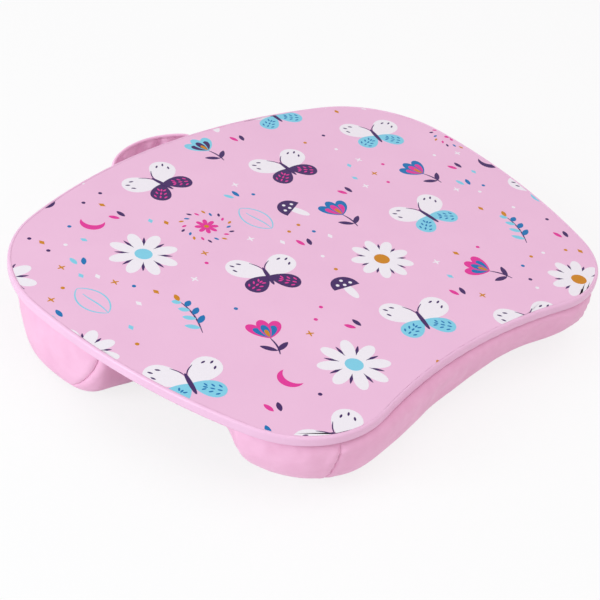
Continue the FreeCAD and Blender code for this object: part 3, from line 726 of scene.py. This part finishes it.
def wall_grid(ring, sole, swell, depth, square, slant, shoulder, tips):
    """A cushion's wall from its sewn top edge to its sole: a quarter of a superellipse.

    Over a quarter turn the way inwards is 1 - cos^(2/square) and the way down sin^(2/square), with a
    squareness for each column. The stuffing moves the wall outwards by swell times 4 d (1 - d), d being
    the share of depth, and above the middle by the fuller 1 - (1 - 2 d)^shoulder.
    A shallow wall still ends at the deepest level: what it lacks is added with the fourth power of the
    way inwards. Past TIP_START the sole rises to its left and right tips as t^2 (3 - 2 t).
    On its way down a column moves along the ring by slant, so that seams can lean."""
    turn = ROW_SHARES * np.pi / 2
    inward = 1 - np.cos(turn) ** (2 / square[:, None])
    drop = np.sin(turn) ** (2 / square[:, None])
    run, length = ring_run(ring)
    place = run[:, None] + slant[:, None] * ROW_SHARES
    top_x, top_y, foot_x, foot_y, out_x, out_y, push, deep = (
        np.interp(place, run, values, period=length)
        for values in (*ring.T, *sole.T, *outwards(ring).T, swell, depth))
    above = 1 - np.abs(1 - 2 * drop) ** shoulder[:, None]
    push = push * np.where(drop < 0.5, above, 4 * drop * (1 - drop))
    deep = deep + (depth.max() - deep) * inward ** 4
    plan_x = top_x + (foot_x - top_x) * inward + out_x * push
    plan_y = top_y + (foot_y - top_y) * inward + out_y * push
    beyond = np.clip((np.abs(plan_x) - TIP_START) / TIP_RUN, 0, 1)
    rise = np.where(plan_x < 0, *tips) * beyond ** 2 * (3 - 2 * beyond)
    return np.dstack([plan_x, plan_y, LID_LOW[2] + LID_BITE - (deep - rise) * drop]), drop


def stuffed(wall, gaps):
    """The wall as cloth: held along its top, its foot and its seams, and blown up from inside.

    Every fourth column goes through 20 frames of Blender's cloth, a little larger than its shape. The
    moves found there, none longer than the cap, are kept as waves along the ring, without the long ones,
    whose swell the shape has already, and without the shortest, which the columns can't hold. They
    calm down towards the sole."""
    scene = bpy.context.scene
    coarse = wall[::COLUMN_STEP]
    numbers = numbered(coarse)
    trial = mesh_piece("trial", coarse.reshape(-1, 3), grid_quads(numbers, True).tolist(), [])
    held = np.zeros(coarse.shape[:2], bool)
    held[:, HELD_ROWS] = True
    held[np.abs(gaps[::COLUMN_STEP]).argmin(0)] = True
    trial.vertex_groups.new(name="held").add(numbers[held].tolist(), 1.0, "REPLACE")
    cloth = trial.modifiers.new("cloth", "CLOTH")
    cloth.point_cache.frame_start = 1
    cloth.point_cache.frame_end = CLOTH_FRAMES
    cloth.collision_settings.use_collision = False
    brushed = {"quality": 6, "mass": 0.3, "tension_stiffness": 15, "compression_stiffness": 15,
               "shear_stiffness": 5, "bending_stiffness": 1.2, "use_pressure": True,
               "uniform_pressure_force": 3, "vertex_group_mass": "held", "shrink_min": -CLOTH_EASE}
    for name, value in brushed.items():
        setattr(cloth.settings, name, value)
    cloth.settings.effector_weights.gravity = 0
    for number in range(1, CLOTH_FRAMES + 1):
        scene.frame_set(number)
    after = np.empty(coarse.size)
    trial.evaluated_get(bpy.context.evaluated_depsgraph_get()).data.vertices.foreach_get("co", after)
    bpy.data.objects.remove(trial)
    scene.frame_set(1)
    moved = after.reshape(coarse.shape) / MM - coarse
    reach = np.linalg.norm(moved, axis=2, keepdims=True)
    moved *= np.minimum(1, CLOTH_CAP / np.maximum(reach, 1e-6))
    waves = np.fft.rfft(moved, axis=0)
    count = np.arange(len(waves))[:, None, None]
    waves *= (1 - bell(count, 0, LONG_WAVES)) * bell(count, 0, SHORT_WAVES * len(coarse))
    calm = np.maximum(1 - CALM_SLOPE * ROW_SHARES, CALM_LEAST)[None, :, None]
    result = wall + np.fft.irfft(waves, len(wall), axis=0) * COLUMN_STEP * calm
    result[:, :, 2] = np.maximum(result[:, :, 2], FLOOR_GAP)
    return result


def sewn(wall, drop, gaps, waves):
    """The wall with its seams drawn in, puckered on both sides, and with soft waves in between.

    A seam is a dented bell with a low welt on each side, its puckers are waves down the wall, the soft
    waves are products of sines round the ring, and small tucks follow the sewn top. Every move is along
    the surface's own direction. It dies out at the top, at the sole and where columns draw together."""
    along = np.roll(wall, -1, axis=0) - np.roll(wall, 1, axis=0)
    out = unit(np.cross(np.gradient(wall, axis=1), along))
    near = np.abs(gaps).min(1)[:, None]
    dent = -SEAM_DENT * bell(near, 0, SEAM_WIDTH) + 0.45 * bell(near, 5, 3)
    pucker = PUCKER_DEPTH * bell(near, 0, 8) * np.sin(2 * np.pi * wall[:, :, 2] / PUCKER_PITCH)
    angle = 2 * np.pi * np.arange(len(wall))[:, None] / len(wall)
    swing = np.sin(waves * angle + 2.2 * drop + 1.3) * np.sin(3 * angle + 0.7)
    swing = swing + 0.5 * np.sin((2 * waves - 3) * angle - 3 * drop)
    tuck = TUCK_DEPTH * bell(drop, 0, 0.12) * np.sin(round(len(wall) / TUCK_COLUMNS) * angle)
    width = np.linalg.norm(along, axis=2)
    fade = np.clip(drop / 0.08, 0, 1) * np.clip((1 - drop) / 0.45, 0, 1)
    fade = fade * np.clip(1.6 * width / width[:, :1] - 0.4, 0, 1)
    moved = wall + out * ((dent + pucker + WAVE_DEPTH * swing + tuck) * fade)[:, :, None]
    moved[:, :, 2] = np.maximum(moved[:, :, 2], FLOOR_GAP)
    return moved


def sole_grid(wall, rows):
    """The sole: rows from the front wall's foot to the back wall's foot at each station.

    Each row bows towards the middle as 4 s (1 - s), so that those at the tips don't fall together."""
    foot = wall[:, -1]
    half = len(foot) // 2
    front = foot[:half + 1]
    back = np.concatenate([foot[:1], foot[:half - 1:-1]])
    share = np.linspace(0, 1, rows)[None, :, None]
    grid = front[:, None, :] * (1 - share) + back[:, None, :] * share
    station = np.arange(half + 1)
    bow = np.cos(np.pi * station / half) * (1 - np.exp(-np.minimum(station, half - station) / 12))
    grid[:, :, 0] += SOLE_BOW * bow[:, None] * 4 * (share * (1 - share))[:, :, 0]
    return grid


def bolster_panels(name, wall, sole, left, right, cloth):
    """The three panels of a bolster from one grid: the strip with the sole, and a cap at each end."""
    points = np.concatenate([wall.reshape(-1, 3), sole.reshape(-1, 3)])
    columns = grid_quads(numbered(wall), True).reshape(len(wall), -1, 4)
    below = grid_quads(numbered(sole, wall[:, :, 0].size), False)
    strip = np.concatenate([columns[~(left | right)].reshape(-1, 4), below])
    panels = {f"{name}_bolster_cover": strip, f"{name}_left_end_cap": columns[left].reshape(-1, 4),
              f"{name}_right_end_cap": columns[right].reshape(-1, 4)}
    for node, faces in panels.items():
        panel = node.replace("bolster_cover", "strip").replace("end_cap", "cap")
        piece = cloth_piece(panel, points, faces, cloth)
        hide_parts(node)


front_path = lid_edge[lid_edge[:, 1] < FRONT_INNER]
front_path = front_path[np.argsort(front_path[:, 0])]
front_ring = paired(rounded(closed_steps(front_path, RING_STEPS), FRONT_EASE), FRONT_COLUMNS)
front_x = front_ring[:, 0]
front_out = outwards(front_ring)

# Shares of the ring: its front, its tips, the slack right half, the full left part, the right lobe, the
# left inner corner, and the lip that is drawn up under the edging.
facing = np.clip(-2 * front_out[:, 1], 0, 1)
tip = at_ends(front_out)
slack = bell(front_x, SLACK_MIDDLE, SLACK_WIDTH)
full = 0.9 * bell(front_x, -82, 42)
right_bearing = bearing(front_out, front_out[:, 0])
left_bearing = bearing(front_out, -front_out[:, 0])
right_lobe = bell(right_bearing, -LOBE_BEARING, 28) * np.clip((front_x - 90) / 40, 0, 1)
left_corner = bell(left_bearing, LOBE_BEARING, 22) * (front_x < 0)
front_lip = facing * np.clip((front_x + 150) / 30, 0, 1) * (1 - right_lobe)

# The sole shrinks to a spine, and the swell and depth are millimetres added up from these shares.
spine_x = np.clip(front_x, -FRONT_SPINE, FRONT_SPINE)
bias = 0.425 - 0.4 * bell(spine_x, SLACK_MIDDLE, SLACK_WIDTH)
spine_y = bias * np.interp(spine_x, front_path[:, 0], front_path[:, 1]) + (1 - bias) * FRONT_INNER
front_spine = np.stack([spine_x, spine_y], 1)
front_sole = front_spine + FRONT_FOOT * (front_ring - front_spine)
hollow_swell = 2.9 * np.clip(1 - (front_x / 140) ** 2, 0, 1) + 3.0 + 3.5 * full - 2.8 * slack
front_swell = 2 + facing * hollow_swell - 3 * tip - 2 * right_lobe - 2.5 * left_corner
front_depth = LID_LOW[2] - 6 * slack - 2.2 * bell(front_x, 120, 20)
front_square = 2.275 + 1.2 * right_lobe ** 2
front_shoulder = 4 + 8 * front_lip
front_left = front_x < -FRONT_SEAM
front_right = front_x > FRONT_SEAM
front_gaps, front_sides, _ = seam_gaps(front_ring, front_left | front_right)
front_slant = 12 * np.sum(front_sides * bell(front_gaps, 0, 30), 1) * off_tips(front_ring)
front_shape = (front_sole, front_swell, front_depth, front_square, front_slant, front_shoulder, FRONT_TIPS)
front_wall, front_drop = wall_grid(front_ring, *front_shape)
front_flare = 7.5 * left_corner[:, None] * np.exp(-front_drop / 0.15)
front_flare = front_flare + 3 * right_lobe[:, None] * bell(front_drop, 0.7, 0.2)
front_wall[:, :, :2] += front_flare[:, :, None] * front_out[:, None, :]
lip_rise = (TRIM_LOW[2] - LID_LOW[2] - 0.3) * front_lip
front_wall[:, :, 2] += lip_rise[:, None] * np.exp(-front_drop / 0.05)
front_wall = sewn(stuffed(front_wall, front_gaps), front_drop, front_gaps, waves=13)
front_foot = sole_grid(front_wall, rows=5)
bolster_panels("front", front_wall, front_foot, front_left, front_right, pink_cloth)

# Rear bolster: the large cushion under the back of the board, made as the front one, with a strip
# for its walls and wide sole and a cap over each end, whose seams run down the corners.

REAR_INNER = -31.75
REAR_MIDDLE = 60
REAR_EASE = 13.4
REAR_COLUMNS = 880
REAR_CORNER = np.array([205.0, -31.25])
REAR_SPINE_X, REAR_SPINE_Y = 185, 52.0
REAR_FOOT = 0.55
REAR_SQUARE = 2.8
REAR_SHOULDER = 4.0
BACK_START = 20
BACK_SEAM, INNER_SEAM = 190, 215.8
BACK_SLANT, INNER_SLANT = 12, 32

rear_path = lid_edge[lid_edge[:, 1] > REAR_INNER]
heading = np.arctan2(rear_path[:, 1] - REAR_MIDDLE, rear_path[:, 0])
rear_edge = closed_steps(rear_path[np.argsort(np.mod(heading + np.pi / 2, 2 * np.pi))], RING_STEPS)
edge_out = outwards(rear_edge)
edge_bearing = bearing(edge_out, np.abs(edge_out[:, 0]))
drawn_in = 3 * np.clip(edge_out[:, 1], 0, 1) + 8 * np.clip(1 - np.abs(edge_bearing - 45) / 45, 0, 1)
rear_ring = paired(rounded(rear_edge - edge_out * drawn_in[:, None], REAR_EASE), REAR_COLUMNS)
rear_x, rear_y = rear_ring.T
rear_out = outwards(rear_ring)
rear_bearing = bearing(rear_out, np.abs(rear_out[:, 0]))

# Shares of the ring: its two inner corners, and the stretch in front of the handle.
from_corner = np.stack([np.abs(rear_x), rear_y], 1) - REAR_CORNER
inner_corner = np.exp(-np.sum(from_corner ** 2, 1) / 24 ** 2)
at_handle = bell(rear_x, 0, 75) * np.clip(rear_out[:, 1], 0, 1)

rear_spine = np.full((len(rear_x), 2), REAR_SPINE_Y)
rear_spine[:, 0] = np.clip(rear_x, -REAR_SPINE_X, REAR_SPINE_X)
rear_sole = rear_spine + REAR_FOOT * (rear_ring - rear_spine)
ends = at_ends(rear_out)
rear_swell = 2.5 + 6 * at_handle - 0.9 * ends - 4 * inner_corner - 2 * bell(rear_bearing, 45, 25)
rear_depth = LID_LOW[2] - 4.4 * inner_corner
rear_square = np.full(len(rear_x), REAR_SQUARE)
rear_shoulder = np.full(len(rear_x), REAR_SHOULDER)
cap_edge = np.where(rear_y > BACK_START, BACK_SEAM, INNER_SEAM)
rear_left = rear_x < -cap_edge
rear_right = rear_x > cap_edge
rear_gaps, rear_sides, rear_seams = seam_gaps(rear_ring, rear_left | rear_right)
lean_in = rear_sides * np.where(rear_seams[:, 1] > BACK_START, BACK_SLANT, INNER_SLANT)
rear_slant = np.sum(lean_in * bell(rear_gaps, 0, 42), 1)
rear_shape = (rear_sole, rear_swell, rear_depth, rear_square, rear_slant, rear_shoulder, (0, 0))
rear_wall, rear_drop = wall_grid(rear_ring, *rear_shape)
rear_flare = 5.5 * bell(rear_bearing, 52, 20)[:, None] * bell(rear_drop, 0.25, 0.28)
rear_wall[:, :, :2] += rear_flare[:, :, None] * rear_out[:, None, :]
rear_wall = sewn(stuffed(rear_wall, rear_gaps), rear_drop, rear_gaps, waves=17)
rear_foot = sole_grid(rear_wall, rows=30)
bolster_panels("rear", rear_wall, rear_foot, rear_left, rear_right, pink_cloth)

# Fillings: loose polyester fibre in each bolster, put in before its last seam is closed.
# Each fills its covers to a few millimetres and gives the walls their swell.

FILLING_INSET = 3.2
FILLING_SWELL = 0.8
FILLING_LOWER = 3.0
FILLING_DROP = 0.4

stuffing = mottled("fibre filling", grain=6, detail=5, dark=linear(226, 224, 220),
                   light=linear(244, 243, 240), roughness=0.95, depth=0.8)
for node, ring, (sole, swell, depth, *shape) in (("front_bolster_filling", front_ring, front_shape),
                                                 ("rear_bolster_filling", rear_ring, rear_shape)):
    inner = ring - FILLING_INSET * outwards(ring)
    wall, _ = wall_grid(inner, sole, FILLING_SWELL * swell, depth - FILLING_LOWER, *shape)
    wall[:, :, 2] -= FILLING_DROP
    wall = wall[::4, ::3]
    sole_rows = sole_grid(wall, rows=9)
    top_rows = sole_grid(wall[:, ::-1], rows=9)
    sole_start = wall[:, :, 0].size
    top_start = sole_start + sole_rows[:, :, 0].size
    points = np.concatenate([grid.reshape(-1, 3) for grid in (wall, sole_rows, top_rows)])
    faces = np.concatenate([grid_quads(numbered(wall), True),
                            grid_quads(numbered(sole_rows, sole_start), False),
                            grid_quads(numbered(top_rows, top_start), False)[:, ::-1]])
    piece = cloth_piece(node.replace("bolster_filling", "filling"), points, faces, stuffing, thick=0)
    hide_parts(node)

# Handle: a loop of doubled cloth behind the cushion, hemmed on both edges and gathered to a neck at
# each end. Its two ends lie flat on the rear wall, where a box of stitches holds them.

STRAP_CENTRE = 114.2
STRAP_BOW = 72.5
STRAP_LEVEL = 32.3
STRAP_HALF = 15.0
STRAP_TURN = np.radians(54)
NECK_TURN = np.radians(46)
HEM_LEVEL = 0.77
HEM_SKIN = 0.72
HEM_PITCH = 3.2
BOX_PITCH = 2.6
STITCH_SHARE = 0.36
STITCH_HALF = 0.3
SPINDLE = np.array([[0, 1, 2], [1, 3, 2], [3, 4, 2], [4, 0, 2], [1, 0, 5], [3, 1, 5], [4, 3, 5], [0, 4, 5]])
END_NEAR, END_FAR = 44, 60
END_LOW, END_HIGH = 20, 44.5
END_RISE = 2.0
END_THICK = 1.7

# Upright folds of the slack: turn along the bow, lean with the level, width in turn, and reach outwards.
STRAP_FOLDS = ((-0.52, 0.05, 0.07, 2.0), (-0.3, -0.04, 0.08, -1.7), (-0.08, 0.06, 0.06, 1.9),
               (0.08, 0.05, 0.05, -2.1), (0.22, 0.04, 0.05, 2.3), (0.36, -0.05, 0.06, -2.0),
               (0.53, -0.04, 0.07, 1.8))


def strap_point(turn, level, thick):
    """A point of the bowed strap: turn along the bow, level from -1 to 1 across, thick outwards.

    The band narrows to a neck as a bell round the fold, and its slack stands in upright folds, each
    a bell along the bow that leans with the level; the neck adds pleats that run along the strap."""
    neck = bell(np.abs(turn), NECK_TURN, 0.13)
    half = STRAP_HALF * (1 - 0.52 * neck) - 3.0 * np.clip((np.abs(turn) - NECK_TURN) / 0.14, 0, 1)
    radius = STRAP_BOW + thick + 0.9 * neck * np.cos(3 * np.pi * level)
    slack = np.clip((0.9 - level) / 0.4, 0, 1) * np.clip((level + 1.1) / 0.6, 0.2, 1)
    for place, lean, width, reach in STRAP_FOLDS:
        radius = radius + reach * slack * bell(turn - place, lean * level, width)
    return np.stack([radius * np.sin(turn), STRAP_CENTRE + radius * np.cos(turn),
                     STRAP_LEVEL + half * level + 0 * turn], -1)


def stitch_row(path, out, pitch):
    """Thread stitches along a path: small spindles, one each pitch, half sunk into the cloth."""
    length = np.concatenate([[0], np.cumsum(np.linalg.norm(np.diff(path, axis=0), axis=1))])
    even = np.arange(pitch / 2, length[-1], pitch)
    middle = read_along(even, length, path)
    rise = unit(read_along(even, length, out))
    along = unit(read_along(even, length, np.gradient(path, axis=0)))
    arms = (STITCH_SHARE * pitch * along, STITCH_HALF * np.cross(rise, along), STITCH_HALF * rise)
    tips = np.stack([*arms, *(-arm for arm in arms)], 1)
    points = middle[:, None, :] + tips
    return points.reshape(-1, 3), 6 * np.arange(len(even))[:, None, None] + SPINDLE[None]


def stitching(name, rows):
    """One piece of thread from several rows of stitches."""
    points = [row[0] for row in rows]
    starts = np.cumsum([0] + [len(row) for row in points])
    faces = np.concatenate([(row[1] + start).reshape(-1, 3) for row, start in zip(rows, starts)])
    return mesh_piece(name, np.concatenate(points), faces.tolist(), [thread], smooth=True)


# The strap's cloth is the pink cloth made paler. This is painted light: it makes up for the shade its inside
# lies in behind the board, and the end patches share it.
strap_cloth_painted_light = brushed_cloth("strap cloth painted light", linear(249, 194, 226), linear(252, 203, 233))
thread = mottled("pink thread", grain=0.3, detail=2, dark=linear(244, 182, 214),
                 light=linear(250, 198, 226), roughness=0.6)

levels = np.sin(np.linspace(-np.pi / 2, np.pi / 2, 47))
fold_edge = np.clip((np.abs(levels) - 0.94) / 0.06, 0, 1)
hem = bell(np.abs(levels), 0.9, 0.07) - 0.8 * bell(np.abs(levels), HEM_LEVEL, 0.03)
half_thick = np.sqrt(1 - fold_edge ** 2) * (0.9 + 0.35 * hem)
bow = np.linspace(-STRAP_TURN, STRAP_TURN, 240)[:, None]
around = np.concatenate([levels, levels[-2:0:-1]])
through = np.concatenate([-half_thick, half_thick[-2:0:-1]])
strap_points = strap_point(bow, around[None, :], through[None, :])
strap_numbers = numbered(strap_points)
strap_rings = np.concatenate([strap_numbers, strap_numbers[:, :1]], 1)
strap_faces = grid_quads(strap_rings, False)[:, ::-1].tolist()
strap_faces += [strap_numbers[0].tolist(), strap_numbers[-1][::-1].tolist()]
strap = mesh_piece("strap", strap_points.reshape(-1, 3), strap_faces, [strap_cloth_painted_light], smooth=True)
hem_rows = []
for level in (-HEM_LEVEL, HEM_LEVEL):
    for side in (-1, 1):
        line = strap_point(bow[:, 0], level, side * HEM_SKIN)
        from_centre = (line - [0, STRAP_CENTRE, STRAP_LEVEL]) * [1, 1, 0]
        hem_rows.append(stitch_row(line, side * from_centre, HEM_PITCH))
strap_thread = stitching("strap_stitches", hem_rows)
for piece in (strap, strap_thread):
    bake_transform(piece)
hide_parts("handle_strap")

wall_x = rear_wall[:, WALL_ROWS // 2, 0]
behind = rear_out[:, 1] > 0.5
box_rows = []
for node, side in (("handle_left_end", -1), ("handle_right_end", 1)):
    columns = np.flatnonzero(behind & (side * wall_x > END_NEAR) & (side * wall_x < END_FAR))
    heights = rear_wall[columns[len(columns) // 2], :, 2]
    rows = np.flatnonzero((heights > END_LOW) & (heights < END_HIGH))
    spot = rear_wall[columns[0]:columns[-1] + 1, rows[0]:rows[-1] + 1]
    out = unit(np.cross(np.gradient(spot, axis=1), np.gradient(spot, axis=0)))
    raised = spot + END_RISE * out
    faces = grid_quads(numbered(raised), False)
    name = node.replace("handle", "strap")
    patch = cloth_piece(name, raised.reshape(-1, 3), faces, strap_cloth_painted_light, thick=END_THICK)
    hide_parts(node)
    skin = raised + 0.05 * out
    low, high = 1, skin.shape[1] - 2
    first, last = 2, skin.shape[0] - 3
    box_sides = ((slice(first, last + 1), low), (slice(first, last + 1), high),
                 (first, slice(low, high + 1)), (last, slice(low, high + 1)))
    box_rows += [stitch_row(skin[cut], out[cut], BOX_PITCH) for cut in box_sides]
patch_thread = stitching("strap_end_stitches", box_rows)
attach(patch_thread, "tray")

# Room: a plain pale floor under the tray, a wide soft light from the left, weaker ones from above
# and from the front, and a white surround.

FLOOR_HALF = 4000
FLOOR_GLOW = 0.8
SURROUND_LIGHT = 0.56
SURROUND_TINT = (1.0, 0.915, 0.95, 1)
WHITE = (1, 1, 1, 1)


def standing(right, up, back, place):
    """The matrix of a lamp or camera, from its three axes and its place in metres."""
    turn = np.eye(4)
    turn[:3] = np.stack([right, up, back, place], 1)
    return Matrix(turn.tolist())


def in_view(tree):
    """1 for what the camera sees straight, in a reflection or through glass, and 0 for plain light."""
    rays = tree.nodes.new("ShaderNodeLightPath").outputs
    seen = rays["Is Camera Ray"]
    for other in ("Is Transmission Ray", "Is Glossy Ray"):
        larger = add_node(tree, "ShaderNodeMath", {"operation": "MAXIMUM"}, {0: seen, 1: rays[other]})
        seen = larger.outputs[0]
    return seen


def soft_light(name, place, aim, side, power, colour):
    """A square area lamp at place, turned towards aim; places in metres."""
    lamp = bpy.data.lights.new(name, "AREA")
    lamp.size = side
    lamp.energy = power
    lamp.color = colour
    piece = bpy.data.objects.new(name, lamp)
    back = unit(np.array(place, float) - np.array(aim, float))
    right = unit(np.cross([0, 0, 1], back))
    piece.matrix_world = standing(right, np.cross(back, right), back, place)
    bpy.context.scene.collection.objects.link(piece)


soft_light("left_light", place=(-2.35, 0.55, 1.1), aim=(0, 0, 0.03), side=1.1, power=36,
           colour=(0.8, 1.0, 0.98))
soft_light("top_light", place=(0.2, -0.5, 2.4), aim=(0, 0, 0), side=2.2, power=16, colour=(1.0, 1.0, 1.0))
soft_light("front_light", place=(0.6, -2.4, 1.2), aim=(0, 0, 0.03), side=1.8, power=4.5,
           colour=(1.0, 0.93, 0.96))

floor_material, tree, shader = new_material("pale floor")
set_sockets(tree, shader, {"Base Color": linear(246, 246, 246), "Roughness": 0.9})
glow = add_node(tree, "ShaderNodeEmission", {}, {"Color": WHITE, "Strength": 1.0})
share = add_node(tree, "ShaderNodeMath", {"operation": "MULTIPLY"}, {0: in_view(tree), 1: FLOOR_GLOW})
both = add_node(tree, "ShaderNodeMixShader", {}, {
    "Fac": share.outputs[0], 1: shader.outputs[0], 2: glow.outputs[0]})
tree.links.new(both.outputs[0], tree.nodes["Material Output"].inputs["Surface"])
floor_corners = [[FLOOR_HALF * x, FLOOR_HALF * y, 0] for x, y in ((-1, -1), (1, -1), (1, 1), (-1, 1))]
floor = mesh_piece("floor", floor_corners, [[0, 1, 2, 3]], [floor_material])

surround = bpy.data.worlds.new("surround")
surround.use_nodes = True
bpy.context.scene.world = surround
tree = surround.node_tree
seen = in_view(tree)
strength = add_node(tree, "ShaderNodeMapRange", {}, {"Value": seen, "To Min": SURROUND_LIGHT, "To Max": 1.0})
tint = add_node(tree, "ShaderNodeMix", {"data_type": "RGBA"}, {
    "Factor": seen, "A": SURROUND_TINT, "B": WHITE})
set_sockets(tree, tree.nodes["Background"], {
    "Color": tint.outputs["Result"], "Strength": strength.outputs[0]})

# Camera: in front of the tray's left corner, above it and a little rolled. It stands a metre away,
# with a lens that lets the tray fill the picture.

CAMERA_AIM = np.array([-0.0649, -0.0637, 0.0613])
CAMERA_DISTANCE = 1.0182
CAMERA_AZIMUTH = np.radians(-51.93)
CAMERA_ELEVATION = np.radians(35.97)
CAMERA_ROLL = np.radians(10.53)
CAMERA_LENS = 84.07
CAMERA_SENSOR = 36

towards = np.array([np.sin(CAMERA_AZIMUTH) * np.cos(CAMERA_ELEVATION),
                    -np.cos(CAMERA_AZIMUTH) * np.cos(CAMERA_ELEVATION), np.sin(CAMERA_ELEVATION)])
level_right = np.array([np.cos(CAMERA_AZIMUTH), np.sin(CAMERA_AZIMUTH), 0])
level_up = np.cross(towards, level_right)
rolled_right = np.cos(CAMERA_ROLL) * level_right + np.sin(CAMERA_ROLL) * level_up
rolled_up = np.cos(CAMERA_ROLL) * level_up - np.sin(CAMERA_ROLL) * level_right
lens = bpy.data.cameras.new("camera")
lens.lens = CAMERA_LENS
lens.sensor_width = CAMERA_SENSOR
camera = bpy.data.objects.new("camera", lens)
camera_place = CAMERA_AIM + CAMERA_DISTANCE * towards
camera.matrix_world = standing(rolled_right, rolled_up, towards, camera_place)
bpy.context.scene.collection.objects.link(camera)
bpy.context.scene.camera = camera
bpy.context.scene.view_settings.view_transform = "Standard"
